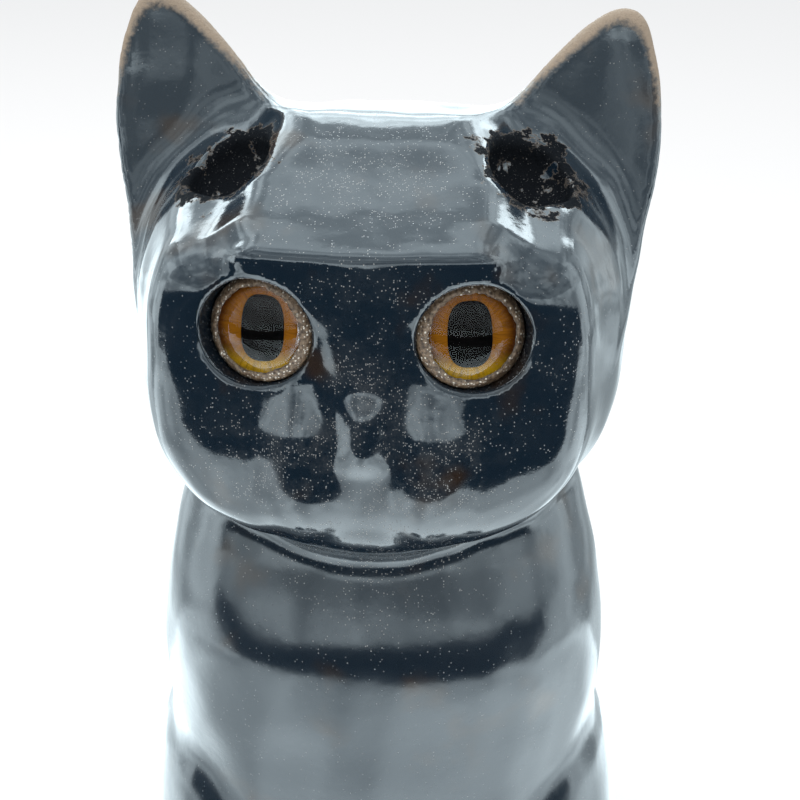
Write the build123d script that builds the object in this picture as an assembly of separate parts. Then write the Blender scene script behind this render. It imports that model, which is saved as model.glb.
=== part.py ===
from build123d import *

import os
from math import cos, pi, sin

# Seated ceramic cat with inset glass eyes, in millimetres.
# The cat looks along -Y and stands on z = 0. The fired shell is one hollow casting
# with a pin vent in its foot. Each eye is a flat-backed glass cabochon with an iris,
# a pupil and a sealing coat on its back, bedded in cement in a round socket.

# ---------------------------------------------------------------- driving sizes
HEAD_Z = 155.0  # height of the head's centre
HEAD_Y = -6.0
HEAD_TURN = 5.0  # degrees, towards the cat's own right
WALL = 5.0  # fired wall thickness
SECTION_POINTS = 16  # spline points round one section
CORNER = 0.92  # under 1 squares a section off a little

# Torso stations: height, half width, front, back.
TORSO = [
    (0.0, 41.0, -37.0, 44.0),
    (14.0, 43.0, -38.5, 47.0),
    (36.0, 43.0, -39.0, 47.0),
    (60.0, 41.0, -40.0, 43.0),
    (84.0, 40.8, -40.5, 36.5),
    (105.0, 39.0, -38.0, 30.0),
    (117.0, 36.8, -35.0, 28.0),
    (138.0, 31.0, -28.0, 23.0),
]

# Head stations, about the head's centre: height, half width, front, back.
HEAD = [
    (-32.0, 26.0, -22.0, 23.0),
    (-28.5, 33.5, -29.0, 28.5),
    (-20.0, 39.0, -35.0, 34.0),
    (-8.0, 41.7, -36.5, 37.0),
    (4.0, 41.8, -35.5, 37.5),
    (16.0, 38.6, -33.0, 35.0),
    (26.0, 30.5, -26.5, 28.0),
    (32.0, 18.0, -15.0, 17.0),
    (34.0, 8.0, -6.0, 8.0),
]

# Face, one side or the middle: centre and half sizes of each swelling.
MUZZLE = ((7.0, -36.5, HEAD_Z - 12.0), (12.0, 10.5, 10.0))
CHIN = ((0.0, -33.5, HEAD_Z - 21.5), (13.0, 9.5, 9.0))
NOSE_BRIDGE = ((0.0, -35.5, HEAD_Z), (6.5, 9.5, 17.0))
NOSE_TIP = ((0.0, -46.0, HEAD_Z - 8.5), (3.6, 3.0, 3.0))
BROW = ((0.0, -21.0, HEAD_Z + 22.0), (25.0, 18.5, 8.5))

# Eyes: flat-backed cabochons.
EYE_AT = (15.8, -37.0, HEAD_Z + 8.0)  # centre of the glass's flat back
EYE_OUT = 15.0  # degrees outwards
EYE_UP = 6.0  # degrees upwards
GLASS_R = 8.0
GLASS_EDGE = 1.4  # height of the glass's straight edge
GLASS_DOME = 4.6  # rise of the dome above that edge
IRIS_R = 6.9
ENAMEL = 0.35  # thickness of the iris, the pupil and the sealing coat
PUPIL_WIDE, PUPIL_TALL = 3.2, 5.2  # half sizes
SOCKET_R = 8.6
CEMENT_BED = 1.2  # cement behind the sealing coat
CEMENT_BELOW = 0.3  # from the top of the cement to the top of the glass's edge
SOCKET_TALL = 30.0  # length of the cutter, which reaches out past the face
LID_R, LID_WIDE = 9.0, 1.4  # the rolled lip round a socket
LID_UP = 1.0  # height of the lip's middle over the glass's back

# Ears, the cat's left one: its outline seen from the front, the curved sheet that
# it is cut from, and the pocket at its root.
EAR_INNER = ((14.0, 178.0), (26.0, 196.0), (37.0, 206.0))
EAR_TOP = (41.0, 207.3)
EAR_OUTER = ((44.0, 204.0), (46.8, 190.0), (41.0, 165.0))
EAR_ROOT = (24.0, 160.0)
EAR_DEEP = 40.0  # length of the block that the outline is cut from
EAR_SHEET = ((31.0, -6.0, 172.0), (27.0, 14.5, 41.0))
EAR_THICK = 5.0
EAR_POCKET = ((32.0, -5.0, 181.5), (9.5, 8.0, 13.5))

# Legs, paws, haunches and tail.
LEG_AT, LEG_R = (17.0, -26.0, 0.0), (14.0, 14.5, 74.0)
PAW_AT, PAW_R = (17.0, -33.5, 3.0), (12.5, 16.0, 10.5)
HAUNCH_AT, HAUNCH_R = (28.0, 11.0, 29.0), (21.5, 37.0, 35.0)
HIND_PAW_AT, HIND_PAW_R = (38.0, -23.0, 3.0), (9.5, 19.0, 9.5)
TAIL_R, TAIL_TIP_R = 6.5, 5.0
TAIL_PATH = [(0, 34, 8), (22, 40, 7), (38, 26, 6.5), (43, 2, 6.5), (42, -20, 6.5), (33, -38, 6.5)]
TAIL_START = (0.95, 0.3, -0.05)
TAIL_END = (-0.6, -0.8, 0.0)

# Cavity, foot rim and vent.
HEAD_CAVITY = ((0.0, -3.0, HEAD_Z - 1.5), (33.0, 28.0, 26.5))
CAVITY_FLOOR = 6.0
FOOT_RIM = 7.0
FOOT_RECESS = 1.5
VENT_R = 1.5
GROUND = 300.0  # side of the block that cuts the figure flat at z = 0


def power(value, exponent):
    """A power that keeps its sign."""
    return abs(value) ** exponent * (1 if value >= 0 else -1)


def section(z, half_width, front, back, shrink=0.0):
    """One egg-shaped level of the figure, as a face."""
    wide = half_width - shrink
    middle = (front + back) / 2
    deep = (back - front) / 2 - shrink
    angles = [2 * pi * step / SECTION_POINTS for step in range(SECTION_POINTS)]
    points = [
        Vector(wide * power(cos(a), CORNER), middle + deep * power(sin(a), CORNER), z) for a in angles
    ]
    return Face(Wire([Edge.make_spline(points, periodic=True)]))


def skin(stations, shrink=0.0, about=(0.0, 0.0)):
    """A solid through stations of height, half width, front and back."""
    y, z = about
    return Pos(0, y, z) * loft([section(*station, shrink) for station in stations])


def swelling(centre, half_sizes):
    """An ellipsoid."""
    return Pos(*centre) * scale(Sphere(1.0), by=half_sizes)


def both_sides(shape):
    """A shape on the cat's left, and its mirror image on the right."""
    return [shape, mirror(shape, about=Plane.YZ)]


def turned(shape):
    """A shape turned with the head, about the upright axis through its centre."""
    return Pos(0, HEAD_Y, 0) * Rot(0, 0, -HEAD_TURN) * Pos(0, -HEAD_Y, 0) * shape


def eye_place(side):
    """The frame of one eye: its origin on the glass's back, and Z out of the head."""
    x, y, z = EYE_AT
    placed = Pos(side * x, y, z) * Rot(0, 0, side * EYE_OUT) * Rot(90 - EYE_UP, 0, 0)
    return Pos(0, HEAD_Y, 0) * Rot(0, 0, -HEAD_TURN) * Pos(0, -HEAD_Y, 0) * placed


def make_ear():
    """The cat's left ear: a block in its outline, cut down to a curved sheet."""
    inner = ThreePointArc(*EAR_INNER)
    top = ThreePointArc(EAR_INNER[2], EAR_TOP, EAR_OUTER[0])
    outer = ThreePointArc(*EAR_OUTER)
    root = Polyline(EAR_OUTER[2], EAR_ROOT, EAR_INNER[0])
    outline = make_face(inner + top + outer + root)
    block = Pos(0, EAR_DEEP / 2, 0) * extrude(Plane.XZ * outline, EAR_DEEP)
    behind = swelling(*EAR_SHEET)
    return (block & behind) - Pos(0, -EAR_THICK, 0) * behind


def make_tail():
    """A round tail that leaves the rump and wraps forwards round the cat's left side."""
    path = Spline(*TAIL_PATH, tangents=[TAIL_START, TAIL_END])
    thick = Plane(origin=path @ 0, z_dir=path % 0) * Circle(TAIL_R)
    thin = Plane(origin=path @ 1, z_dir=path % 1) * Circle(TAIL_TIP_R)
    return sweep([thick, thin], path, multisection=True) + Pos(*(path @ 1)) * Sphere(TAIL_TIP_R)


def make_head():
    """The head with its face and ears, still looking straight ahead."""
    head = skin(HEAD, about=(HEAD_Y, HEAD_Z))
    for ear in both_sides(make_ear()):
        head += ear
    for pocket in both_sides(swelling(*EAR_POCKET)):
        head -= pocket
    face = both_sides(swelling(*MUZZLE))
    face += [swelling(*lump) for lump in (CHIN, NOSE_BRIDGE, NOSE_TIP, BROW)]
    for lump in face:
        head += lump
    return head


def make_outside():
    """The whole figure before it is hollowed, cut flat at the foot."""
    figure = skin(TORSO) + turned(make_head())
    for lump in [(LEG_AT, LEG_R), (PAW_AT, PAW_R), (HAUNCH_AT, HAUNCH_R), (HIND_PAW_AT, HIND_PAW_R)]:
        for side in both_sides(swelling(*lump)):
            figure += side
    figure += make_tail()
    return figure - Pos(0, 0, -GROUND / 2) * Box(GROUND, GROUND, GROUND)


def make_cavity():
    """The hollow inside the torso and the head, and the vent that opens it."""
    _, wide, front, back = TORSO[0]
    floor = (CAVITY_FLOOR, wide, front, back)
    hollow = skin([floor, *TORSO[1:]], shrink=WALL) + turned(swelling(*HEAD_CAVITY))
    vent = Pos(0, 0, CAVITY_FLOOR / 2) * Cylinder(VENT_R, 2 * CAVITY_FLOOR)
    return hollow + vent


def make_foot_recess():
    """The shallow recess inside the flat foot rim."""
    _, wide, front, back = TORSO[0]
    lower = section(-1.0, wide, front, back, shrink=FOOT_RIM)
    return extrude(lower, FOOT_RECESS + 1.0, dir=(0, 0, 1))


def make_socket():
    """The round socket of an eye, in the eye's frame."""
    deep = ENAMEL * 2 + CEMENT_BED
    return Pos(0, 0, SOCKET_TALL / 2 - deep) * Cylinder(SOCKET_R, SOCKET_TALL)


def make_lid():
    """The rolled lip round a socket, in the eye's frame."""
    return Pos(0, 0, LID_UP) * Torus(LID_R, LID_WIDE) - make_socket()


def make_glass():
    """A flat-backed cabochon: a short straight edge under a dome."""
    rim = GLASS_EDGE
    profile = Polyline((GLASS_R, rim), (GLASS_R, 0), (0, 0), (0, rim + GLASS_DOME))
    dome_r = (GLASS_R**2 + GLASS_DOME**2) / (2 * GLASS_DOME)
    dome = RadiusArc((0, rim + GLASS_DOME), (GLASS_R, rim), dome_r)
    return revolve(Plane.XZ * make_face(profile + dome), Axis.Z)


def make_pupil():
    """An upright oval on the glass's back."""
    return extrude(Ellipse(PUPIL_WIDE, PUPIL_TALL), -ENAMEL)


def make_iris():
    """The amber ring round the pupil."""
    return extrude(Circle(IRIS_R) - Ellipse(PUPIL_WIDE, PUPIL_TALL), -ENAMEL)


def make_sealing_coat():
    """The dark coat that seals the iris and the pupil from behind."""
    return extrude(Pos(0, 0, -ENAMEL) * Circle(IRIS_R), -ENAMEL)


def make_cement():
    """The cement bed: a cup round the glass's edge and behind the coat."""
    deep = ENAMEL * 2 + CEMENT_BED
    top = GLASS_EDGE - CEMENT_BELOW
    cup = Pos(0, 0, (top - deep) / 2) * Cylinder(SOCKET_R, top + deep)
    seat = Pos(0, 0, SOCKET_TALL / 2) * Cylinder(GLASS_R, SOCKET_TALL)
    pocket = Pos(0, 0, -ENAMEL) * Cylinder(IRIS_R, 2 * ENAMEL)
    return cup - seat - pocket


def make_shell():
    """The fired and glazed shell."""
    shell = make_outside() - make_cavity() - make_foot_recess()
    for side in (-1, 1):
        shell -= eye_place(side) * make_socket()
        shell += eye_place(side) * make_lid()
    return shell


EYE_PIECES = {
    "glass_eye": make_glass,
    "iris": make_iris,
    "pupil": make_pupil,
    "sealing_coat": make_sealing_coat,
    "eye_cement": make_cement,
}

parts = {"ceramic_shell": make_shell()}
for side, name in ((1, "left"), (-1, "right")):
    for piece, make in EYE_PIECES.items():
        parts[f"{piece}_{name}"] = eye_place(side) * make()

os.makedirs("parts", exist_ok=True)
for name, shape in parts.items():
    export_step(shape, f"parts/{name}.step")
box = Compound(children=list(parts.values())).bounding_box()
print("overall", box.min, box.max, box.size)
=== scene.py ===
import bmesh
import bpy
import numpy as np
from math import atan2, cos, degrees, pi, radians, sin
from mathutils import Euler, Matrix, Vector


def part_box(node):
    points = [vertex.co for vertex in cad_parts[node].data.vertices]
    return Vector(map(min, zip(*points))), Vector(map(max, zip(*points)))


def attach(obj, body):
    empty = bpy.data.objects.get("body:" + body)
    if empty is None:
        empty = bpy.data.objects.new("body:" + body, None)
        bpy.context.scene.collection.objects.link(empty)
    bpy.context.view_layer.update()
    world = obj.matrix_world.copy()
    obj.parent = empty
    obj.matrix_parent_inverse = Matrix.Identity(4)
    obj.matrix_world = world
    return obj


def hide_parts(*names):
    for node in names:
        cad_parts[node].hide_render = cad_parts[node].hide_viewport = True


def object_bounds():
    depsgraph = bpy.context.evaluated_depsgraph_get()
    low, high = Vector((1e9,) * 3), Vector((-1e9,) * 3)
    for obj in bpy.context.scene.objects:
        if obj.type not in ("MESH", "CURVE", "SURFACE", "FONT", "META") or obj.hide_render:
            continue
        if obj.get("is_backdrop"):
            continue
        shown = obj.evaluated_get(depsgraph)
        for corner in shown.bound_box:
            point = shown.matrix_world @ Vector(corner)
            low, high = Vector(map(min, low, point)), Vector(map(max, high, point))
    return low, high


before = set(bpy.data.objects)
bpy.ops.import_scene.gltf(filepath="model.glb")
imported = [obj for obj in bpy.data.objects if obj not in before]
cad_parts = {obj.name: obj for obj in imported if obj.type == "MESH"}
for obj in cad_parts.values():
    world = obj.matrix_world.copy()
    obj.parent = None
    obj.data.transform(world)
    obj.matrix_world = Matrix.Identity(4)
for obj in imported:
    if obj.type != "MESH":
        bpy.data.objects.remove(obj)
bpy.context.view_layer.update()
mm = 0.001


# the head's own frame comes from the two glass eyes
def middleOf(node):
    low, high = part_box(node)
    return (low + high) / 2 / mm


leftEye, rightEye = middleOf("pupil_left"), middleOf("pupil_right")
eyeSpan = leftEye - rightEye
headTurn = atan2(eyeSpan.y, eyeSpan.x)
headAxes = np.array(Matrix.Rotation(headTurn, 3, "Z"))
eyesInHead = np.array([0.0, -31.0, 8.0])
headMiddle = np.array((leftEye + rightEye) / 2) - headAxes @ eyesInHead
print("head turned", round(degrees(headTurn), 2), "degrees about", headMiddle.round(2))


# building blocks of the clay form: lengths in mm, and every field is below zero inside the clay
farAway = 60.0  # stands for outside, where a field isn't worked out


def inHead(points):
    # points in the head's own frame
    return (points - headMiddle) @ headAxes


def swelling(points, centre, size, plan=2.0, side=2.0, lean=(0, 0, 0), reach=12.0):
    # x and y over their half widths, raised to the plan's power, added and rooted; then the same with z and
    # the side's power; the field is that less one, over its slope, which makes it nearly a distance
    local = (points - np.array(centre)) @ np.array(Euler([radians(v) for v in lean]).to_matrix())
    size = np.array(size, float)
    near = (np.abs(local) < size.max() + reach).all(axis=1)
    out = np.full(len(points), farAway)
    x, y, z = np.maximum(np.abs(local[near]) / size, 1e-4).T
    s = (x**plan + y**plan) ** (1 / plan)
    r = (s**side + z**side) ** (1 / side)
    alongS = (s / r) ** (side - 1)
    slopeX = alongS * (x / s) ** (plan - 1) / size[0]
    slopeY = alongS * (y / s) ** (plan - 1) / size[1]
    slopeZ = (z / r) ** (side - 1) / size[2]
    out[near] = (r - 1) / np.sqrt(slopeX**2 + slopeY**2 + slopeZ**2)
    return out


def join(a, b, soft):
    # the lower of two fields, rounded over a width of soft
    mix = np.clip(0.5 + 0.5 * (b - a) / soft, 0, 1)
    return b + (a - b) * mix - soft * mix * (1 - mix)


def trim(a, b, soft):
    # the higher of two fields, rounded over a width of soft
    return -join(-a, -b, soft)


def smoothThrough(at, knots, values):
    # natural cubic spline: each knot's bend and its neighbours', weighted by the gaps between them, add up
    # to six times the change of slope there
    knots, values = np.array(knots, float), np.array(values, float)
    h = np.diff(knots)
    steps = np.diff(values) / h
    system = np.eye(len(knots))
    for row in range(1, len(knots) - 1):
        system[row, row - 1 : row + 2] = h[row - 1], 2 * (h[row - 1] + h[row]), h[row]
    bends = np.linalg.solve(system, np.concatenate([[0], 6 * np.diff(steps), [0]]))
    at = np.clip(at, knots[0], knots[-1])
    i = np.clip(np.searchsorted(knots, at) - 1, 0, len(h) - 1)
    t, u = at - knots[i], knots[i + 1] - at
    return (
        (bends[i] * u**3 + bends[i + 1] * t**3) / (6 * h[i])
        + (values[i] / h[i] - bends[i] * h[i] / 6) * u
        + (values[i + 1] / h[i] - bends[i + 1] * h[i] / 6) * t
    )


def circleThrough(a, b, c):
    # centre and radius of the circle through three points
    a, b, c = map(np.array, (a, b, c))
    system = 2 * np.array([b - a, c - a])
    centre = np.linalg.solve(system, [b @ b - a @ a, c @ c - a @ a])
    return centre, np.linalg.norm(a - centre)


# torso, haunches, legs and paws; half of the widths and the places of front and back at each height
torso = {
    "heights": [0, 14, 36, 58, 70, 80, 88, 94, 98.5, 101.5, 104, 107, 111, 116, 122, 138],
    "halfWidths": [
        41, 41, 40, 38.6, 38.8, 39.8, 40.2, 40.1,
        39.7, 39.4, 39.1, 38.7, 38.1, 37.1, 35.6, 31,
    ],
    "fronts": [
        -36, -37, -37, -37.2, -37.8, -38.4, -39.1, -39.8,
        -40.3, -40.4, -40.2, -39.7, -38.4, -36.2, -33.4, -28,
    ],
    "backs": [44, 47, 47, 43.4, 40.2, 37.6, 34.9, 33, 31.8, 31, 30.4, 29.8, 28.9, 27.9, 27, 23],
    "squareness": 2.2,
    "rounder": (103, 118, 0.24),  # between these heights the plan loses this much squareness
    "top": 132,
    "topSoft": 4.0,
}


def torsoField(points):
    # at each height, x and y over the splined half width and half depth, raised to a power, added and
    # rooted; the field is that less one, over its slope
    x, y, z = points.T
    wide = smoothThrough(z, torso["heights"], torso["halfWidths"])
    front = smoothThrough(z, torso["heights"], torso["fronts"])
    back = smoothThrough(z, torso["heights"], torso["backs"])
    deep = (back - front) / 2
    low, high, less = torso["rounder"]
    n = torso["squareness"] - less * np.clip((z - low) / (high - low), 0, 1)
    px = np.maximum(np.abs(x) / wide, 1e-4)
    py = np.maximum(np.abs(y - (front + back) / 2) / deep, 1e-4)
    r = (px**n + py**n) ** (1 / n)
    slope = np.hypot((px / r) ** (n - 1) / wide, (py / r) ** (n - 1) / deep)
    return trim((r - 1) / slope, z - torso["top"], torso["topSoft"])


limbs = {
    "haunch": ((24.0, 5, 34), (21.5, 35, 54)),
    "haunchShape": (2.2, 2.6),
    "haunchLean": (11, 0, 0),
    "haunchSoft": 2.0,
    "leg": ((17, -26, 0), (13.5, 14.5, 76)),
    "legSoft": 5.0,
    "paw": ((17, -33.0, 3), (12.5, 15.8, 10.5)),
    "pawPlan": 2.2,
    "pawSoft": 3.0,
    "hindPaw": ((38, -23, 3), (10.0, 19, 9.5)),
    "toeLines": (-4.2, 0.0, 4.2),
    "toeLine": (0.7, 6.5, 9.0),
    "toeLineSoft": 1.6,
    "toeSpread": 12.5,  # half the width of the paw that the toe lines are laid out on
    "toeBend": 0.06,
    "toeLineIn": (1.0, 1.5),
}


def limbField(points, field):
    # haunches, legs and paws of one side, mirrored, with lines cut between the toes
    mirrored = np.abs(points * [1, 0, 0]) + points * [0, 1, 1]
    haunch = swelling(mirrored, *limbs["haunch"], *limbs["haunchShape"], lean=limbs["haunchLean"])
    field = join(field, haunch, limbs["haunchSoft"])
    field = join(field, swelling(mirrored, *limbs["leg"]), limbs["legSoft"])
    for name in ("paw", "hindPaw"):
        field = join(field, swelling(mirrored, *limbs[name], plan=limbs["pawPlan"]), limbs["pawSoft"])
        (x, y, z), (a, b, c) = limbs[name]
        back, up = limbs["toeLineIn"]
        for across in limbs["toeLines"]:
            spread = across * a / limbs["toeSpread"]
            place = (x + spread, y - b + back + limbs["toeBend"] * across**2, z + up)
            field = trim(field, -swelling(mirrored, place, limbs["toeLine"]), limbs["toeLineSoft"])
    return field


tail = {
    "route": [(0, 34, 8), (22, 40, 7), (38, 26, 6.5), (43, 2, 6.5), (42, -20, 6.5), (33, -38, 6.5)],
    "rootRadius": 6.5,
    "tipRadius": 5.0,
    "rings": 40,
    "below": 24,
    "soft": 2.0,
}


def tailField(points, field):
    # distance to the nearest stretch of the route, less a radius that narrows towards the tip
    route = np.array(tail["route"], float)
    along = np.concatenate([[0], np.cumsum(np.linalg.norm(np.diff(route, axis=0), axis=1))])
    t = np.linspace(0, 1, tail["rings"])
    line = np.stack([smoothThrough(t * along[-1], along, route[:, axis]) for axis in range(3)], axis=1)
    near = points[:, 2] < tail["below"]
    p = points[near]
    best = np.full(len(p), farAway)
    for a, b, s in zip(line[:-1], line[1:], t):
        reach = np.clip((p - a) @ (b - a) / ((b - a) @ (b - a)), 0, 1)
        away = np.linalg.norm(p - a - reach[:, None] * (b - a), axis=1)
        best = np.minimum(best, away - tail["rootRadius"] + (tail["rootRadius"] - tail["tipRadius"]) * s)
    out = field.copy()
    out[near] = join(field[near], best, tail["soft"])
    return out


# head, in its own frame: x to the cat's left, y to the back, z up
head = {
    "skull": ((0, 0, 0), (41.3, 36.0, 35.0)),
    "skullPlan": 2.65,
    "skullSide": 2.5,
    "foreheadAt": (0, -33, 19.0),
    "foreheadSlope": 22.0,
    "foreheadSoft": 4.0,
    "face": ((0, -9.0, 0.3), (36.5, 31.7, 27.0)),
    "faceOutline": 2.7,
    "faceFlatness": 6.0,
    "faceSoft": 3.0,
    "plateAt": (0, -33, 23.4),
    "plateFront": (-37.9, 0.0028),
    "plateSides": (22.0, 0.17),
    "plateEdge": 1.4,
    "plateSideEdge": 7.0,
    "plateBack": 2.0,
    "plateBackEdge": 12.0,
    "plateFoot": (8.0, 5.0),
    "plateUndercut": 0.11,
    "plateSoft": (1.2, 8.0),  # joins the forehead crisply in front and softly behind
    "plateSoftFrom": (36, 7),
    "dish": ((-1.5, -25.0, 29.6), (30.0, 16.5, 3.3)),
    "dishPlan": 2.4,
    "dishLean": (22, 0, 0),
    "dishSoft": 0.8,
    "lip": ((0, -31.0, -14.5), (6.2, 7.0, 8.5)),
    "lipShape": (2.6, 4.0),
    "lipLean": (18, 0, 0),
    "lipSoft": 2.4,
    "nose": ((0, -30.5, 6.0), (7.5, 7.2, 14.0)),
    "noseSide": 5.0,
    "noseSoft": 4.0,
    "noseTip": ((0, -36.4, -7.0), (3.0, 3.8, 5.6)),
    "noseTipSide": 3.0,
    "noseTipSoft": 3.0,
    "hollow": ((11.2, -40.8, 2.5), (9.5, 6.0, 9.5)),
    "hollowSoft": 3.2,
    "snout": ((9.6, -28.0, -15.5), (8.2, 11.0, 22.0)),
    "snoutSoft": 3.0,
    "snoutBelow": 0.6,
    "pad": ((9.5, -28.0, -15.0), (12.5, 9.3, 9.5)),
    "padSide": 3.0,
    "padSoft": 4.0,
    "chin": ((0, -24.0, -25.0), (14.0, 9.5, 8.5)),
    "chinSoft": 4.0,
}
ear = {
    "sheet": ((31, -13, 16), (29, 15.0, 58)),
    "lean": (-24, 0, 0),
    "thick": 4.4,
    "inner": ((14, 24), (25.5, 40), (36.5, 50.0)),  # three points on each of the outline's arcs
    "outer": ((43.6, 48.0), (46.2, 34.5), (41, 11)),
    "taller": (25, 52, 2.2),  # between these heights the right ear gains this much
    "tipSoft": 7.0,
    "rimSoft": 1.8,
    "rootSoft": 8.0,
    "pocket": ((24.0, -9.5, 26.2), (7.4, 8.6, 5.5)),
    "pocketLean": (20, 22, 0),
    "pocketSoft": 2.0,
}
eye = {
    "out": 15.0,
    "up": 6.0,
    "socketRadius": 8.7,
    "socketDeep": 1.9,
    "lidRadius": 9.3,
    "lidOut": 1.1,
    "lidThick": 0.9,
    "lidSoft": 1.6,
    "holeSoft": 0.7,
}


def eyeFrame(side):
    # the middle of the pupil, and three directions: to the eye's left, up, and the way it looks
    middle = np.array(leftEye if side > 0 else rightEye)
    out, up = radians(eye["out"]), radians(eye["up"])
    looks = headAxes @ np.array([side * sin(out) * cos(up), -cos(out) * cos(up), sin(up)])
    across = np.cross([0, 0, 1], looks)
    across /= np.linalg.norm(across)
    return middle, np.array([across, np.cross(looks, across), looks])


def earOutline(x, z):
    # between the ear's inner and outer arcs, seen from the front
    innerMiddle, innerRadius = circleThrough(*ear["inner"])
    outerMiddle, outerRadius = circleThrough(*ear["outer"])
    inner = np.hypot(x - innerMiddle[0], z - innerMiddle[1]) - innerRadius
    outer = np.hypot(x - outerMiddle[0], z - outerMiddle[1]) - outerRadius
    return trim(inner, outer, ear["tipSoft"])


def earSpace(local):
    # both ears on one side, the cat's right one drawn out a little taller
    low, high, more = ear["taller"]
    rise = more * np.clip((local[:, 2] - low) / (high - low), 0, 1.2) * (local[:, 0] < 0)
    return np.stack([np.abs(local[:, 0]), local[:, 1], local[:, 2] - rise], 1)


def earField(mirrored):
    # a curved sheet between an ellipsoid and the same one moved forward, cut to the outline
    centre, size = ear["sheet"]
    behind = swelling(mirrored, centre, size, lean=ear["lean"])
    before = swelling(mirrored + [0, ear["thick"], 0], centre, size, lean=ear["lean"])
    sheet = trim(trim(behind, -before, ear["rimSoft"]), centre[1] - mirrored[:, 1], 1.0)
    return trim(sheet, earOutline(mirrored[:, 0], mirrored[:, 2]), ear["rimSoft"])


def overForehead(local, at):
    # height over the forehead's sloping plane through a named point
    slope = radians(head["foreheadSlope"])
    return (local - np.array(head[at])) @ np.array([0, -sin(slope), cos(slope)])


def plateField(mirrored):
    # the raised plate between the ears: under a sloping top, behind a front edge, between two sides
    x, y, z = mirrored.T
    front, bow = head["plateFront"]
    halfWide, narrows = head["plateSides"]
    before = front + bow * x**2 + head["plateUndercut"] * (head["plateAt"][2] - z) - y
    beside = x - halfWide + narrows * (y - head["plateAt"][1])
    field = trim(overForehead(mirrored, "plateAt"), before, head["plateEdge"])
    field = trim(trim(field, beside, head["plateSideEdge"]), y - head["plateBack"], head["plateBackEdge"])
    return trim(field, head["plateFoot"][0] - z, head["plateFoot"][1])


def headField(points):
    # skull, face, forehead, ears, plate, pockets and muzzle, joined and trimmed in turn
    local = inHead(points)
    mirrored = np.abs(local * [1, 0, 0]) + local * [0, 1, 1]
    field = swelling(local, *head["skull"], plan=head["skullPlan"], side=head["skullSide"], reach=60)
    # the face is a swelling tipped forwards: its plan is the outline from the front
    flat, outline = head["faceFlatness"], head["faceOutline"]
    face = swelling(local, *head["face"], plan=outline, side=flat, lean=(90, 0, 0))
    field = join(field, face, head["faceSoft"])
    field = trim(field, overForehead(local, "foreheadAt"), head["foreheadSoft"])
    field = join(field, earField(earSpace(local)), ear["rootSoft"])
    crisp, soft = head["plateSoft"]
    start, over = head["plateSoftFrom"]
    softer = crisp + (soft - crisp) * np.clip((mirrored[:, 1] + start) / over, 0, 1)
    field = join(field, plateField(mirrored), softer)
    dish = swelling(local, *head["dish"], plan=head["dishPlan"], lean=head["dishLean"])
    field = trim(field, -dish, head["dishSoft"])
    pocket = swelling(mirrored, *ear["pocket"], lean=ear["pocketLean"])
    field = trim(field, -pocket, ear["pocketSoft"])
    field = join(field, swelling(local, *head["chin"]), head["chinSoft"])
    field = join(field, swelling(mirrored, *head["pad"], side=head["padSide"]), head["padSoft"])
    field = trim(field, -swelling(mirrored, *head["hollow"]), head["hollowSoft"])
    # the snout's slopes are long above and short below their widest level
    below = np.minimum(mirrored[:, 2:] - head["snout"][0][2], 0) * [0, 0, head["snoutBelow"]]
    field = join(field, swelling(mirrored + below, *head["snout"]), head["snoutSoft"])
    lip = swelling(local, *head["lip"], *head["lipShape"], lean=head["lipLean"])
    field = join(field, lip, head["lipSoft"])
    field = join(field, swelling(local, *head["nose"], side=head["noseSide"]), head["noseSoft"])
    noseTip = swelling(local, *head["noseTip"], side=head["noseTipSide"])
    return join(field, noseTip, head["noseTipSoft"])


def socketField(points, field):
    # a rolled lip round each eye and a round socket through it
    for side in (1, -1):
        middle, axes = eyeFrame(side)
        offset = (points - middle) @ axes.T
        out, across = offset[:, 2], np.hypot(offset[:, 0], offset[:, 1])
        near = (across < 16) & (out > -10) & (out < 16)
        lip = np.hypot(across[near] - eye["lidRadius"], out[near] - eye["lidOut"]) - eye["lidThick"]
        hole = trim(across[near] - eye["socketRadius"], -out[near] - eye["socketDeep"], 0.6)
        field[near] = trim(join(field[near], lip, eye["lidSoft"]), -hole, eye["holeSoft"])
    return field


foot = {"rim": 7.0, "recess": 1.5, "across": 35, "vent": 1.5, "ventDeep": 8.0, "below": 12, "soft": 0.8}


def footField(points, field):
    # flat at the ground, with a shallow recess inside the rim and a vent in its middle
    x, y, z = points.T
    field = trim(field, -z, 1.0)
    near = z < foot["below"]
    wide, front, back = torso["halfWidths"][0], torso["fronts"][0], torso["backs"][0]
    px = np.abs(x[near]) / (wide - foot["rim"])
    py = np.abs(y[near] - (front + back) / 2) / ((back - front) / 2 - foot["rim"])
    recess = trim((np.hypot(px, py) - 1) * foot["across"], z[near] - foot["recess"], foot["soft"])
    vent = trim(np.hypot(x[near], y[near]) - foot["vent"], z[near] - foot["ventDeep"], foot["soft"])
    field[near] = trim(trim(field[near], -recess, foot["soft"]), -vent, foot["soft"])
    return field


handWork = {
    "height": 0.07,
    "paces": ((0.31, 0.22, 0.17), (-0.26, 0.19, 0.33), (0.15, -0.34, 0.24), (0.41, 0.12, -0.29)),
    "neckSoft": 5.0,
}


def handWaves(points):
    # unevenness from modelling by hand: products of slow sines along several slanting directions
    waves = np.sin(points @ np.array(handWork["paces"]).T + np.arange(4) * 1.7)
    return handWork["height"] * (waves[:, 0] * waves[:, 1] + waves[:, 2] + waves[:, 3] * waves[:, 0])


def catField(points):
    # the whole cat: torso, limbs and tail, then the head, the hand's unevenness, the sockets and the foot
    field = tailField(points, limbField(points, torsoField(points)))
    field = join(field, headField(points), handWork["neckSoft"]) + handWaves(points)
    return footField(points, socketField(points, field))


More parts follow.
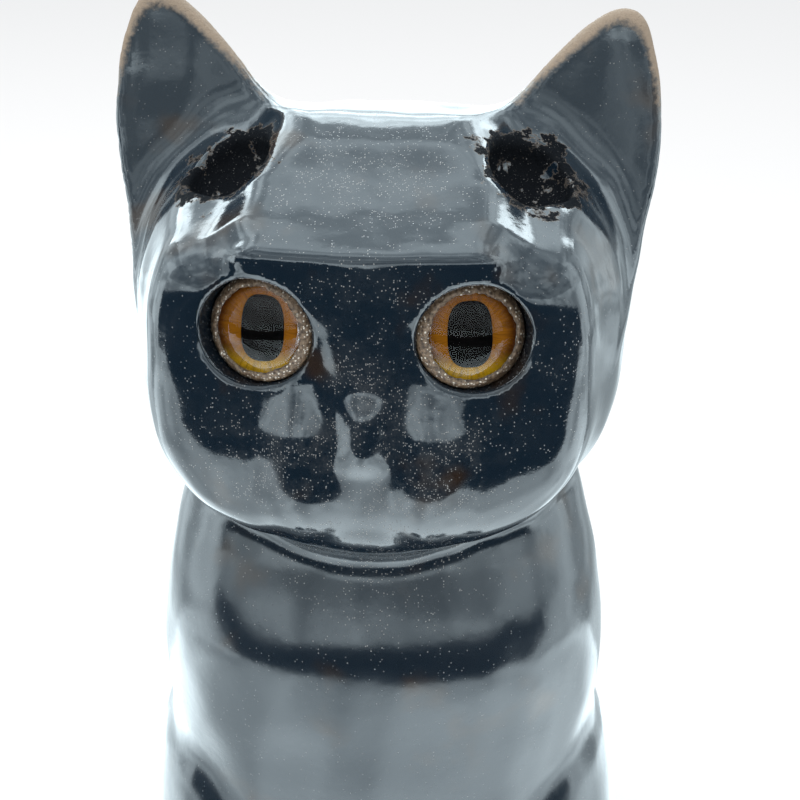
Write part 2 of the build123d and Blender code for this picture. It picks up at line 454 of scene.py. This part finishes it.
masks = {
    # speckled places on the head: middle, radius and strength
    "speckles": [
        ((-11, -38, -12), 9, 1.0),
        ((11, -38, -12), 10, 0.9),
        ((0, -39, -1), 5, 1.2),
        ((0, -30, -26), 16, 0.6),
        ((0, -18, 27), 14, 0.7),
        ((0, -38, 12), 8, 0.4),
        ((26, -30, 4), 10, 0.3),
        ((-26, -28, -6), 10, 0.3),
    ],
    "everywhere": 0.02,
    "rimWide": 3.0,
    "rimHeights": (26, 20),  # the ear's edge thins from this height on, over this much
    "pocketReach": 8.0,
    "bareHeight": 0.5,
    "satinHeights": (30, 8),  # the same downwards, below the head's middle
}


def finishMasks(points):
    # how speckled, how thinly glazed, how rough and how bare each point is, from 0 to 1
    local = inHead(points)
    mirrored = earSpace(local)
    speckle = np.full(len(points), masks["everywhere"])
    for middle, radius, strength in masks["speckles"]:
        away = np.linalg.norm(local - np.array(middle), axis=1)
        speckle += strength * np.exp(-((away / radius) ** 2))
    start, over = masks["rimHeights"]
    high = np.clip((mirrored[:, 2] - start) / over, 0, 1) * (np.abs(earField(mirrored)) < 1)
    rim = high * np.clip(1 + earOutline(mirrored[:, 0], mirrored[:, 2]) / masks["rimWide"], 0, 1)
    inPocket = swelling(mirrored, *ear["pocket"], lean=ear["pocketLean"])
    pocket = np.clip(1 - inPocket / masks["pocketReach"], 0, 1)
    bare = (points[:, 2] < masks["bareHeight"]) * 1.0
    start, over = masks["satinHeights"]
    satin = np.clip((local[:, 2] + start) / -over, 0, 1)
    return {"speckle": speckle, "rim": rim, "pocket": pocket, "bare": bare, "satin": satin}


# from field to mesh: the net's spacing along each axis, coarser where nothing small is made
mesh = {
    "xKnots": ([-60, 60], [0.8, 0.8]),
    "yKnots": ([-60, -20, 10, 60], [0.7, 0.8, 1.4, 1.5]),
    "zKnots": ([-5, 106, 117, 190, 220], [1.5, 1.3, 0.72, 0.78, 1.1]),
    "draft": 1.4,
    "margin": 8.0,
    "block": 4,
    "rounds": 4,
}


def graded(knots, spacing):
    # positions along one axis, with a spacing that changes evenly between the knots
    fine = np.linspace(knots[0], knots[-1], 6000)
    coarser = 1.0
    count = np.concatenate([[0], np.cumsum(np.diff(fine) / np.interp(fine[1:], knots, spacing) / coarser)])
    return np.interp(np.arange(int(count[-1]) + 1), count, fine)


def fieldOnGrid(axes):
    # every fourth sample first, then all samples of the blocks that the surface may cross
    step = mesh["block"]
    shape = [len(a) for a in axes]
    rough = np.stack(np.meshgrid(*[a[::step] for a in axes], indexing="ij"), -1)
    values = catField(rough.reshape(-1, 3)).reshape(rough.shape[:3])
    nearest = [np.minimum((np.arange(n) + step // 2) // step, m - 1) for n, m in zip(shape, values.shape)]
    values = values[np.ix_(*nearest)]
    close = np.abs(values) < mesh["margin"]
    grid = np.stack(np.meshgrid(*axes, indexing="ij"), -1)
    values[close] = catField(grid[close])
    return values


def netOver(axes):
    # one point in every cell that the surface crosses, and one square across every crossed grid edge
    inside = fieldOnGrid(axes) < 0
    corners = np.zeros([n - 1 for n in inside.shape], int)
    for i, j, k in np.ndindex(2, 2, 2):
        corners += inside[i : i - 1 or None, j : j - 1 or None, k : k - 1 or None]
    crossed = (corners > 0) & (corners < 8)
    number = np.full(crossed.shape, -1)
    number[crossed] = np.arange(crossed.sum())
    middles = [(a[1:] + a[:-1]) / 2 for a in axes]
    points = np.stack(np.meshgrid(*middles, indexing="ij"), -1)[crossed]
    squares = []
    for axis in range(3):
        turn = [axis, (axis + 1) % 3, (axis + 2) % 3]
        solid, cells = inside.transpose(turn), number.transpose(turn)
        here, there = solid[:-1, 1:-1, 1:-1], solid[1:, 1:-1, 1:-1]
        ring = [cells[:, :-1, :-1], cells[:, 1:, :-1], cells[:, 1:, 1:], cells[:, :-1, 1:]]
        outwards, inwards = here & ~there, there & ~here
        squares.append(np.stack([c[outwards] for c in ring], 1))
        squares.append(np.stack([c[inwards] for c in ring[::-1]], 1))
    return points, np.concatenate(squares)


def slopeOf(points, field, nudge=0.05):
    # the field's change along each axis, from a nudge either way
    steps = [(field(points + axis) - field(points - axis)) / (2 * nudge) for axis in np.eye(3) * nudge]
    return np.stack(steps, axis=1)


def ontoSurface(points, field, rounds=3):
    # Newton steps down the field's slope, none longer than a millimetre
    for _ in range(rounds):
        slope = slopeOf(points, field)
        step = field(points)[:, None] * slope / np.maximum((slope**2).sum(axis=1), 0.05)[:, None]
        length = np.linalg.norm(step, axis=1)[:, None]
        points = points - step * np.minimum(1, 1 / np.maximum(length, 1e-9))
    return points


def evenOut(points, squares, field, rounds):
    # each point half way to the middle of its neighbours, then back onto the surface
    edges = np.concatenate([squares[:, [i, (i + 1) % 4]] for i in range(4)])
    counts = np.bincount(edges[:, 0], minlength=len(points))
    for _ in range(rounds):
        sums = [np.bincount(edges[:, 0], points[edges[:, 1], axis], len(points)) for axis in range(3)]
        points = (points + np.stack(sums, 1) / counts[:, None]) / 2
        points = ontoSurface(points, field, 1)
    return ontoSurface(points, field, 2)


def makePiece(name, points, faces, material):
    # points in mm and faces of four as a smooth mesh at the origin
    data = bpy.data.meshes.new(name)
    data.from_pydata((points * mm).tolist(), [], faces.tolist())
    data.shade_smooth()
    data.materials.append(material)
    piece = bpy.data.objects.new(name, data)
    bpy.context.scene.collection.objects.link(piece)
    return piece


class Wire:
    # a shader value; arithmetic on it adds Math nodes
    def __init__(self, finish, socket):
        self.finish, self.socket = finish, socket

    def maths(self, operation, *values):
        return self.finish.node("ShaderNodeMath", {"operation": operation}, dict(enumerate(values)))

    def __add__(self, other):
        return self.maths("ADD", self, other)

    def __sub__(self, other):
        return self.maths("SUBTRACT", self, other)

    def __rsub__(self, other):
        return self.maths("SUBTRACT", other, self)

    def __mul__(self, other):
        return self.maths("MULTIPLY", self, other)

    def atLeast(self, other):
        return self.maths("MAXIMUM", self, other)

    __radd__, __rmul__ = __add__, __mul__


class Finish:
    # a material with one Principled shader; values that never change are set on its sockets
    def __init__(self, name, **values):
        self.material = bpy.data.materials.new(name)
        self.material.use_nodes = True
        self.tree = self.material.node_tree
        self.shader = self.tree.nodes["Principled BSDF"]
        self.link(**values)

    def node(self, kind, settings=None, sockets=None, out=0):
        # any node: its settings first, then the values or links of its sockets
        made = self.tree.nodes.new(kind)
        for name, value in (settings or {}).items():
            setattr(made, name, value)
        for name, value in (sockets or {}).items():
            self.feed(made.inputs[name], value)
        return Wire(self, made.outputs[out])

    def feed(self, socket, value):
        # a link, a number, or a colour as three numbers
        if isinstance(value, Wire):
            self.tree.links.new(value.socket, socket)
        elif socket.type == "RGBA" and len(value) == 3:
            socket.default_value = (*value, 1)
        else:
            socket.default_value = value

    def show(self, shader):
        # what the material's output shows
        self.feed(self.tree.nodes["Material Output"].inputs["Surface"], shader)

    def link(self, **values):
        for socket, value in values.items():
            self.feed(self.shader.inputs[socket.replace("_", " ")], value)

    def place(self):
        return self.node("ShaderNodeTexCoord", out="Object")

    def noise(self, place, size, detail=2.0, rough=0.5):
        # cloudy values from 0 to 1 with lumps about size millimetres across
        sockets = {"Vector": place, "Scale": 1 / (size * mm), "Detail": detail, "Roughness": rough}
        return self.node("ShaderNodeTexNoise", {}, sockets)

    def dots(self, place, pitch):
        # distance to the nearest of many scattered points, in pitches, and that point's own random number
        sockets = {"Vector": place, "Scale": 1 / (pitch * mm)}
        near = self.node("ShaderNodeTexVoronoi", {"feature": "F1"}, sockets, out="Distance")
        own = Wire(self, near.socket.node.outputs["Color"])
        return near, self.node("ShaderNodeSeparateColor", {}, {0: own})

    def attribute(self, name):
        return self.node("ShaderNodeAttribute", {"attribute_name": name}, {}, out="Fac")

    def between(self, value, low, high):
        # 0 below low, 1 above high, smooth between
        settings = {"interpolation_type": "SMOOTHSTEP"}
        return self.node("ShaderNodeMapRange", settings, {"Value": value, "From Min": low, "From Max": high})

    def blend(self, share, a, b):
        # colour a where share is 0 and colour b where it is 1
        return self.node("ShaderNodeMix", {"data_type": "RGBA"}, {0: share, 6: a, 7: b}, out=2)

    def over(self, share, **values):
        # lays a second shader over the first one by the share given
        named = {socket.replace("_", " "): value for socket, value in values.items()}
        second = self.node("ShaderNodeBsdfPrincipled", {}, named)
        first = Wire(self, self.shader.outputs[0])
        self.show(self.node("ShaderNodeMixShader", {}, {0: share, 1: first, 2: second}))

    def bump(self, height):
        # height in metres
        return self.node("ShaderNodeBump", {}, {"Height": height, "Distance": 1.0, "Strength": 1.0})


glazeLook = {
    "blue": (0.006, 0.0145, 0.025),
    "brown": (0.026, 0.016, 0.011),
    "cream": (0.24, 0.24, 0.235),
    "clay": (0.34, 0.275, 0.21),
    "pocket": (0.004, 0.005, 0.007),
    "roughness": 0.07,
    "satin": 0.10,
    "ior": 1.58,
    "dotPitch": 0.30,
    "dotSize": 0.44,
    "dotEdge": (0.0, 0.10),
    "dotChosen": (0.95, 1.05),
    "crowded": (0.50, 0.85),
    "haze": 0.22,
    "brownClouds": (0.55, 0.72),
    "thin": (0.78, 1.20),
    "crawled": (2.08, 2.22),
    "sparkle": ((0.62, 0.70), (0.5, 0.6)),
    "waveHeights": (0.00007, 0.00003, 0.000008),  # heights in metres
    "dotHeight": 0.00003,
    "pitHeights": (0.0003, 0.00012),
}


def makeGlaze():
    # thin black glaze over tan clay: bare where it ran off, crawled and grainy in the pockets
    glaze = Finish("blackGlaze", IOR=glazeLook["ior"])
    place = glaze.place()
    clouds = glaze.noise(place, 14, 3.0)
    patches = glaze.noise(place, 4.5, 4.0, 0.6)
    grain = glaze.noise(place, 0.9, 4.0, 0.6)
    fine = glaze.noise(place, 0.25, 2.0)
    speckle, rim = glaze.attribute("speckle"), glaze.attribute("rim")
    pocket, bare, satin = glaze.attribute("pocket"), glaze.attribute("bare"), glaze.attribute("satin")
    near, own = glaze.dots(place, glazeLook["dotPitch"])
    crowd = glaze.between(patches + 0.3 * grain, *glazeLook["crowded"]) * speckle
    chosen = glaze.between(own + 0.75 * crowd, *glazeLook["dotChosen"])
    dot = glaze.between(glazeLook["dotSize"] * own - near, *glazeLook["dotEdge"]) * chosen
    brown = glaze.between(clouds, *glazeLook["brownClouds"])
    tone = glaze.blend(brown, glazeLook["blue"], glazeLook["brown"])
    tone = glaze.blend(crowd * fine * glazeLook["haze"], tone, glazeLook["cream"])
    tone = glaze.blend(dot, tone, glazeLook["cream"])
    gloss = glazeLook["roughness"] + 0.05 * grain
    gloss = gloss + glazeLook["satin"] * satin + 0.10 * dot + 0.06 * crowd
    slow, uneven, small = glazeLook["waveHeights"]
    waves = glaze.noise(place, 6.0, 2.0) * slow + patches * uneven + grain * small
    relief = glaze.bump(waves - dot * glazeLook["dotHeight"])
    glaze.link(Base_Color=tone, Roughness=gloss, Normal=relief)
    thin = glaze.between(rim + 0.55 * grain + 0.35 * clouds, *glazeLook["thin"])
    crawled = glaze.between(pocket + 0.6 * grain + 2.2 * patches, *glazeLook["crawled"])
    inFine, inGrain = glazeLook["sparkle"]
    sparkle = glaze.between(fine, *inFine) * glaze.between(grain, *inGrain)
    grainy = glaze.blend(sparkle, glazeLook["pocket"], glazeLook["cream"])
    under = glaze.blend(crawled, glazeLook["clay"], grainy)
    coarse, pitted = glazeLook["pitHeights"]
    rough = glaze.bump(waves + grain * coarse + fine * pitted)
    share = thin.atLeast(crawled).atLeast(bare)
    dull = 0.5 + 0.3 * grain
    glaze.over(share, Base_Color=under, Roughness=dull, Normal=rough, Specular_IOR_Level=0.05)
    return glaze.material


def makeGlass():
    # clear, with a faint unevenness in its polish
    glass = Finish("clearGlass", Transmission_Weight=1.0, IOR=1.5, Specular_Tint=(0.2, 0.2, 0.2))
    glass.link(Roughness=0.004 + 0.006 * glass.noise(glass.place(), 3.0))
    return glass.material


irisLook = {
    "rimBrown": (0.12, 0.034, 0.008),
    "orange": (0.36, 0.10, 0.008),
    "amber": (0.56, 0.20, 0.010),
    # painted light: the yellow of the crescent that light focused through the glass dome throws low on the
    # iris
    "paintedCaustic": (0.95, 0.50, 0.012),
    "radius": 6.9,
    "spokes": (16, 2.2),  # how fine round the eye, and how long
    "spokesShown": (0.35, 0.75),
    "brownFrom": (0.62, 0.98),
    "amberWithin": (0.12, 0.45),
    "paintedCausticBelow": (0.42, 0.82),
    "paintedCausticWithin": (0.02, 0.16),
}


def eyeMapping(finish, side):
    # turns Object coordinates into the eye's own: x across, y up and z out, from the middle of the pupil
    middle, axes = eyeFrame(side)
    turn = Matrix(axes.T.tolist()).to_euler()
    sockets = {"Vector": finish.place(), "Location": tuple(middle * mm), "Rotation": tuple(turn)}
    return finish.node("ShaderNodeMapping", {"vector_type": "TEXTURE"}, sockets)


def makeIris(side):
    # rings from brown through orange to amber, fine spokes, and painted light: a yellow crescent low down
    name = "amberIris" + ("Left" if side > 0 else "Right")
    iris = Finish(name, Roughness=0.35, Specular_IOR_Level=0.0)
    place = eyeMapping(iris, side)
    apart = iris.node("ShaderNodeSeparateXYZ", {}, {0: place})
    up = Wire(iris, apart.socket.node.outputs["Y"])
    flat = iris.node("ShaderNodeVectorMath", {"operation": "MULTIPLY"}, {0: place, 1: (1, 1, 0)})
    length = iris.node("ShaderNodeVectorMath", {"operation": "LENGTH"}, {0: flat}, out="Value")
    r = length * (1 / (irisLook["radius"] * mm))
    angle = iris.node("ShaderNodeMath", {"operation": "ARCTAN2"}, {0: up, 1: apart})
    fine, long = irisLook["spokes"]
    across = iris.node("ShaderNodeCombineXYZ", {}, {0: angle * fine, 1: r * long})
    sockets = {"Vector": across, "Scale": 1.0, "Detail": 3.0}
    spokes = iris.node("ShaderNodeTexNoise", {"noise_dimensions": "2D"}, sockets)
    outwards = iris.between(r + 0.12 * spokes, *irisLook["brownFrom"])
    tone = iris.blend(outwards, irisLook["orange"], irisLook["rimBrown"])
    inwards = iris.between(1 - r, *irisLook["amberWithin"])
    tone = iris.blend(inwards * 0.75, tone, irisLook["amber"])
    # painted light: yellow laid low in the iris, inside its rim, for the light that the glass dome focuses
    # there
    down = up * (-1 / (irisLook["radius"] * mm))
    low = iris.between(down + 0.15 * spokes, *irisLook["paintedCausticBelow"])
    low = low * iris.between(1 - r, *irisLook["paintedCausticWithin"])
    tone = iris.blend(low, tone, irisLook["paintedCaustic"])
    shown = iris.between(spokes, *irisLook["spokesShown"])
    iris.link(Base_Color=iris.blend(shown * 0.45, tone, irisLook["rimBrown"]))
    return iris.material


cementLook = {
    "dark": (0.06, 0.035, 0.02),
    "tan": (0.27, 0.19, 0.12),
    "cream": (0.80, 0.76, 0.66),
    "grainPitch": 0.45,
    "grainSize": 0.42,
    "creamGrains": (0.62, 0.80),
}


def makeCement():
    # tan bed with cream and dark grains
    bed = Finish("eyeCement")
    place = bed.place()
    near, own = bed.dots(place, cementLook["grainPitch"])
    grain = bed.noise(place, 0.5, 4.0, 0.65)
    tone = bed.blend(bed.between(grain, 0.35, 0.65), cementLook["dark"], cementLook["tan"])
    inside = bed.between(cementLook["grainSize"] - near, 0.0, 0.1)
    grains = bed.between(own, *cementLook["creamGrains"]) * inside
    tone = bed.blend(grains, tone, cementLook["cream"])
    lumps = bed.bump(grain * 0.00012 - near * 0.00005)
    bed.link(Base_Color=tone, Roughness=0.25 + 0.4 * grain, Normal=lumps)
    return bed.material


enamelLooks = {
    # colour and roughness
    "pupil": ((0.006, 0.005, 0.005), 0.25),
    "coat": ((0.03, 0.022, 0.016), 0.5),
}


def makeEnamel(name, colour, roughness):
    # one dark colour, clouded a little darker
    enamel = Finish(name, Specular_IOR_Level=0.0)
    grain = enamel.noise(enamel.place(), 0.6, 3.0)
    dark = tuple(0.6 * v for v in colour)
    enamel.link(Base_Color=enamel.blend(grain, dark, colour), Roughness=roughness + 0.15 * grain)
    return enamel.material


# eyes: profiles carried round each eye's own axis
glassEye = {"radius": 8.0, "edge": 1.4, "rise": 4.6, "around": 96, "along": 28, "nip": 0.35, "out": 0.2}
bedRing = {
    # radius and height of each step across the putty, from inside the glass to the socket's wall
    "steps": [
        (6.6, 0.6), (6.6, 2.6), (6.9, 3.25), (7.2, 3.35), (7.6, 3.05),
        (8.1, 2.5), (8.45, 2.1), (8.62, 1.4), (8.62, 0.6),
    ],
    "around": 180,
    "bumps": 0.12,
    "ragged": 0.12,
}
pupilSize = {"across": 2.8, "tall": 4.25, "squareness": 2.8, "thick": 0.3, "around": 96, "irisRadius": 6.9}


def turnedPiece(name, side, radii, heights, around, material, wobble=None):
    # each profile step's radius times the cosine and sine of the angle round the eye, at its height
    # outwards; an end of no radius closes on one point
    middle, axes = eyeFrame(side)
    t = np.linspace(0, 2 * pi, around, endpoint=False)
    r, h = np.meshgrid(radii, t, indexing="ij")[0], np.meshgrid(heights, t, indexing="ij")[0]
    if wobble is not None:
        r, h = wobble(r, h, t)
    local = np.stack([r * np.cos(t), r * np.sin(t), h], -1).reshape(-1, 3)
    rows = len(radii)
    i, j = np.meshgrid(np.arange(rows - 1), np.arange(around), indexing="ij")
    k = (j + 1) % around
    faces = np.stack([i * around + j, i * around + k, (i + 1) * around + k, (i + 1) * around + j], -1)
    piece = makePiece(name, local @ axes + middle, faces.reshape(-1, 4), material)
    weld(piece)
    return piece


def weld(piece):
    # closes poles and seams, and points every face outwards
    work = bmesh.new()
    work.from_mesh(piece.data)
    bmesh.ops.remove_doubles(work, verts=work.verts, dist=1e-6)
    bmesh.ops.recalc_face_normals(work, faces=work.faces)
    work.to_mesh(piece.data)
    work.free()


def makeGlassEye(side, material):
    # flat back, a short straight edge with a nipped corner, then the arc of the dome
    radius, edge, rise, nip = (glassEye[k] for k in ("radius", "edge", "rise", "nip"))
    ball = (radius**2 + rise**2) / (2 * rise)
    span = np.arcsin(radius / ball)
    dome = np.linspace(span, 0, glassEye["along"])
    radii = np.concatenate([[0, radius * 0.5, radius - nip, radius, radius], ball * np.sin(dome)])
    heights = np.concatenate([[0, 0, 0, nip, edge], edge + rise - ball * (1 - np.cos(dome))])
    name = "glass_dome_" + ("left" if side > 0 else "right")
    return turnedPiece(name, side, radii, heights + glassEye["out"], glassEye["around"], material)


def makeBedRing(side, material):
    # putty lapping over the glass's edge, with small lumps round it and a ragged inner edge
    radii, heights = np.array(bedRing["steps"] + bedRing["steps"][:1]).T
    phase = 1.0 if side > 0 else 2.2

    def lumps(r, h, t):
        wave = np.sin(23 * t + phase) + np.sin(41 * t + 2 * phase) + np.sin(67 * t + 3 * phase + 3 * r)
        ragged = np.sin(3 * t + phase) + np.sin(11 * t - phase) + 0.6 * np.sin(29 * t + 2 * phase)
        return r + bedRing["ragged"] * ragged * (r < 8) * (h > 1), h + bedRing["bumps"] / 2 * wave * (h > 1)

    name = "cement_ring_" + ("left" if side > 0 else "right")
    return turnedPiece(name, side, radii, heights, bedRing["around"], material, lumps)


def pupilEdge(t):
    # the radius at which x and y, over their half widths and raised to a power, add up to one
    a, b, n = pupilSize["across"], pupilSize["tall"], pupilSize["squareness"]
    return (np.abs(np.cos(t) / a) ** n + np.abs(np.sin(t) / b) ** n) ** (-1 / n)


def makePupil(side, material):
    # a thin plate to the pupil's edge, taller than wide, with softened corners
    radii = np.array([0, 0.5, 0.95, 0.99, 0.99, 0.97, 0.5, 0])
    heights = (0.5 - np.array([1, 1, 1, 0.92, 0.08, 0, 0, 0])) * pupilSize["thick"]
    name = "pupil_plate_" + ("left" if side > 0 else "right")
    around = pupilSize["around"]
    return turnedPiece(name, side, radii, heights, around, material, lambda r, h, t: (r * pupilEdge(t), h))


def makeIrisRing(side, material):
    # a thin ring from the pupil's edge, share 0, to the round outside, share 1
    shares = np.array([0, 0.25, 0.5, 0.75, 1, 1, 0.5, 0, 0])
    heights = (0.5 - np.array([0, 0, 0, 0, 0, 1, 1, 1, 0])) * pupilSize["thick"]
    name = "iris_ring_" + ("left" if side > 0 else "right")

    def between(share, h, t):
        return pupilEdge(t) + share * (pupilSize["irisRadius"] - pupilEdge(t)), h

    return turnedPiece(name, side, shares, heights, pupilSize["around"], material, between)


axes = [graded(*mesh[knots]) for knots in ("xKnots", "yKnots", "zKnots")]
points, squares = netOver(axes)
print("surface net laid:", len(points), "points,", 2 * len(squares), "triangles")
points = evenOut(points, squares, catField, mesh["rounds"])
print("points evened out and settled on the clay")
shell = makePiece("glazed_cat", points, squares, makeGlaze())
for name, values in finishMasks(points).items():
    mask = shell.data.attributes.new(name, "FLOAT", "POINT")
    mask.data.foreach_set("value", values.astype(np.float32))
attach(shell, "root")
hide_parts("ceramic_shell")
print("cat glazed")

glassFinish, cementFinish = makeGlass(), makeCement()
pupilFinish = makeEnamel("blackEnamel", *enamelLooks["pupil"])
coatFinish = makeEnamel("sealingCoat", *enamelLooks["coat"])
for side, name in ((1, "left"), (-1, "right")):
    pieces = (
        (makeGlassEye(side, glassFinish), "glass_eye_", "eye_glass"),
        (makeBedRing(side, cementFinish), "eye_cement_", "eye_cement"),
        (makePupil(side, pupilFinish), "pupil_", "black_enamel"),
        (makeIrisRing(side, makeIris(side)), "iris_", "amber_enamel"),
    )
    for piece, node, slot in pieces:
        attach(piece, "root")
        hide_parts(node + name)
    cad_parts["sealing_coat_" + name].data.materials[0] = coatFinish
    print(name, "eye bedded in its socket")

# a box of glowing cards for the glaze to mirror: dark in front, pale above, beside and below
stageCards = {
    # name: (lowest corner, highest corner, brightness), in metres; one side of each box has no depth
    "table": ((-0.60, -0.21, -0.002), (0.60, 0.12, -0.002), 3.4),
    "tableBackLeft": ((0.0, 0.12, -0.002), (0.60, 0.60, -0.002), 1.2),
    "tableBackRight": ((-0.60, 0.12, -0.002), (0.0, 0.60, -0.002), 1.9),
    "tableFront": ((-0.60, -0.75, -0.002), (0.60, -0.21, -0.002), 0.03),
    "frontLow": ((-0.60, -0.75, 0.0), (0.60, -0.75, 0.17), 0.03),
    "frontHigh": ((-0.60, -0.75, 0.17), (0.60, -0.75, 0.32), 2.9),
    "frontTop": ((-0.60, -0.75, 0.32), (0.60, -0.75, 0.80), 1.2),
    "leftFront": ((0.60, -0.75, 0.0), (0.60, -0.12, 0.16), 0.05),
    "rightFront": ((-0.60, -0.75, 0.0), (-0.60, -0.02, 0.16), 0.05),
    "leftFrontHigh": ((0.60, -0.75, 0.16), (0.60, -0.12, 0.34), 2.8),
    "rightFrontHigh": ((-0.60, -0.75, 0.16), (-0.60, -0.02, 0.34), 2.8),
    "leftFrontTop": ((0.60, -0.75, 0.34), (0.60, -0.12, 0.80), 1.3),
    "rightFrontTop": ((-0.60, -0.75, 0.34), (-0.60, -0.02, 0.80), 1.4),
    "left": ((0.60, -0.12, 0.0), (0.60, 0.22, 0.80), 2.8),
    "leftBack": ((0.60, 0.22, 0.0), (0.60, 0.60, 0.80), 1.4),
    "right": ((-0.60, -0.02, 0.0), (-0.60, 0.22, 0.80), 3.4),
    "rightBack": ((-0.60, 0.22, 0.0), (-0.60, 0.60, 0.80), 2.0),
    "backLeft": ((0.12, 0.60, 0.0), (0.60, 0.60, 0.45), 1.0),
    "back": ((-0.12, 0.60, 0.0), (0.12, 0.60, 0.45), 3.0),
    "backRight": ((-0.60, 0.60, 0.0), (-0.12, 0.60, 0.45), 1.6),
    "backHigh": ((-0.60, 0.60, 0.45), (0.60, 0.60, 0.80), 7.0),
    "ceiling": ((-0.22, -0.10, 0.80), (0.22, 0.60, 0.80), 2.6),
    "ceilingFront": ((-0.22, -0.75, 0.80), (0.22, -0.10, 0.80), 1.6),
    "ceilingLeft": ((0.22, 0.10, 0.80), (0.60, 0.60, 0.80), 2.6),
    "ceilingRight": ((-0.60, 0.10, 0.80), (-0.22, 0.60, 0.80), 3.2),
    "ceilingFrontLeft": ((0.22, -0.75, 0.80), (0.60, 0.10, 0.80), 1.8),
    "ceilingFrontRight": ((-0.60, -0.75, 0.80), (-0.22, 0.10, 0.80), 2.0),
}
cloth = {"tint": (0.86, 1.0, 1.06), "darkest": 0.62, "brightest": 1.35, "lumps": 170.0}


def emitter(name, strength):
    # glowing cloth, a little uneven
    glowing = Finish(name)
    uneven = glowing.between(glowing.noise(glowing.place(), cloth["lumps"], 2.0), 0.35, 0.65)
    darker = tuple(v * cloth["darkest"] for v in cloth["tint"])
    brighter = tuple(v * cloth["brightest"] for v in cloth["tint"])
    tone = glowing.blend(uneven, darker, brighter)
    glowing.show(glowing.node("ShaderNodeEmission", {}, {"Color": tone, "Strength": strength}))
    return glowing.material


def makeCard(name, low, high, strength):
    # a flat card that shows only in the glaze and the glass
    low, high = np.array(low), np.array(high)
    flat = int(np.argmin(high - low))
    a, b = [axis for axis in range(3) if axis != flat]
    corners = np.array([low, low, high, high])
    corners[1, a], corners[3, a] = high[a], low[a]
    data = bpy.data.meshes.new(name)
    data.from_pydata(corners.tolist(), [], [(0, 1, 2, 3)])
    data.materials.append(emitter(name, strength))
    card = bpy.data.objects.new(name, data)
    bpy.context.scene.collection.objects.link(card)
    card.visible_camera = card.visible_diffuse = card.visible_shadow = False
    card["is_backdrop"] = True


for name, (low, high, strength) in stageCards.items():
    makeCard(name + "_card", low, high, strength)
print("stage box of", len(stageCards), "cards hung")

room = {
    "floor": (0.85, 0.85, 0.85),
    "world": (0.93, 0.94, 0.95),
    "keyAt": (-0.2, 0.1, 1.0),
    "keyPower": 5,
    "keySize": 0.8,
}
bpy.ops.mesh.primitive_plane_add(size=8)
floor = bpy.context.object
floor.name = "floor"
floor.visible_glossy = False
floor.data.materials.append(Finish("floorPaint", Base_Color=room["floor"], Specular_IOR_Level=0.0).material)
floor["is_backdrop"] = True

world = bpy.data.worlds.new("paleRoom")
world.use_nodes = True
world.node_tree.nodes["Background"].inputs[0].default_value = (*room["world"], 1)
bpy.context.scene.world = world
bpy.context.scene.view_settings.view_transform = "Standard"

lamp = bpy.data.lights.new("key", "AREA")
lamp.energy, lamp.size = room["keyPower"], room["keySize"]
key = bpy.data.objects.new("key", lamp)
key.location = room["keyAt"]
key.rotation_euler = (Vector(key.location) - Vector((0, 0, 0.1))).to_track_quat("Z", "Y").to_euler()
key.visible_glossy = False
bpy.context.scene.collection.objects.link(key)

view = {"elevation": 20.0, "distance": 300.0, "lens": 77.9, "shift": (0.02, -0.11375)}
camera = bpy.data.objects.new("camera", bpy.data.cameras.new("camera"))
camera.data.lens, camera.data.sensor_width, camera.data.clip_start = view["lens"], 36, 0.01
camera.data.shift_x, camera.data.shift_y = view["shift"]
back = Vector((0, -cos(radians(view["elevation"])), sin(radians(view["elevation"]))))
camera.location = (Vector(headMiddle) + back * view["distance"]) * mm
camera.rotation_euler = back.to_track_quat("Z", "Y").to_euler()
bpy.context.scene.collection.objects.link(camera)
bpy.context.scene.camera = camera
print("camera looks down", view["elevation"], "degrees at the head")

low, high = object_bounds()
